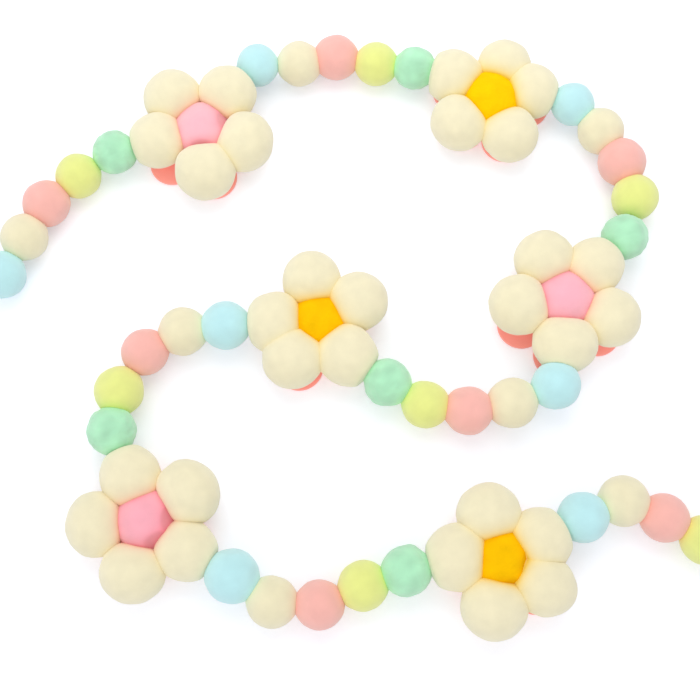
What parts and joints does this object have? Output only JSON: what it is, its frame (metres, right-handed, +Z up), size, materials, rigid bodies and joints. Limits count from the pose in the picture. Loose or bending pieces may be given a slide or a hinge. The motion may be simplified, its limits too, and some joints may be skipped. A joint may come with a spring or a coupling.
{
  "type": "felt flower garland",
  "caption": "Garland of pastel felt balls with felt daisies, each a ring of pressed petal balls round a coloured centre, lying in a loose S.",
  "frame": {"origin": "the middle of the garland's footprint, on the surface that it lies on", "axes": "+Z up from the surface, +X to the right across the S as seen from above, +Y towards its upper bend"},
  "size_m": [0.2986, 0.253, 0.0234],
  "materials": {
    "felt_blue": "matt wet-felted wool, smooth with a fine fuzz",
    "felt_cream": "matt wet-felted wool, smooth with a fine fuzz",
    "felt_coral": "matt wet-felted wool, smooth with a fine fuzz",
    "felt_lemon": "matt wet-felted wool, smooth with a fine fuzz",
    "felt_mint": "matt wet-felted wool, smooth with a fine fuzz",
    "felt_petal": "matt wet-felted wool, smooth with a fine fuzz",
    "felt_pink": "matt wet-felted wool, smooth with a fine fuzz",
    "felt_gold": "matt wet-felted wool, smooth with a fine fuzz",
    "felt_backing": "matt die-cut wool felt sheet"
  },
  "bodies": {
    "root": {"backing_1": "felt_backing", "backing_2": "felt_backing", "backing_3": "felt_backing", "backing_4": "felt_backing", "backing_5": "felt_backing", "backing_6": "felt_backing", "bead_a1_blue": "felt_blue", "bead_a2_cream": "felt_cream", "bead_a3_coral": "felt_coral", "bead_a4_lemon": "felt_lemon", "bead_a5_mint": "felt_mint", "bead_b1_blue": "felt_blue", "bead_b2_cream": "felt_cream", "bead_b3_coral": "felt_coral", "bead_b4_lemon": "felt_lemon", "bead_b5_mint": "felt_mint", "bead_c1_blue": "felt_blue", "bead_c2_cream": "felt_cream", "bead_c3_coral": "felt_coral", "bead_c4_lemon": "felt_lemon", "bead_c5_mint": "felt_mint", "bead_d1_blue": "felt_blue", "bead_d2_cream": "felt_cream", "bead_d3_coral": "felt_coral", "bead_d4_lemon": "felt_lemon", "bead_d5_mint": "felt_mint", "bead_e1_blue": "felt_blue", "bead_e2_cream": "felt_cream", "bead_e3_coral": "felt_coral", "bead_e4_lemon": "felt_lemon", "bead_e5_mint": "felt_mint", "bead_f1_blue": "felt_blue", "bead_f2_cream": "felt_cream", "bead_f3_coral": "felt_coral", "bead_f4_lemon": "felt_lemon", "bead_f5_mint": "felt_mint", "bead_g1_blue": "felt_blue", "bead_g2_cream": "felt_cream", "bead_g3_coral": "felt_coral", "bead_g4_lemon": "felt_lemon", "centre_1": "felt_pink", "centre_2": "felt_gold", "centre_3": "felt_pink", "centre_4": "felt_gold", "centre_5": "felt_pink", "centre_6": "felt_gold", "petals_1": "felt_petal", "petals_2": "felt_petal", "petals_3": "felt_petal", "petals_4": "felt_petal", "petals_5": "felt_petal", "petals_6": "felt_petal"}
  },
  "joints": []
}
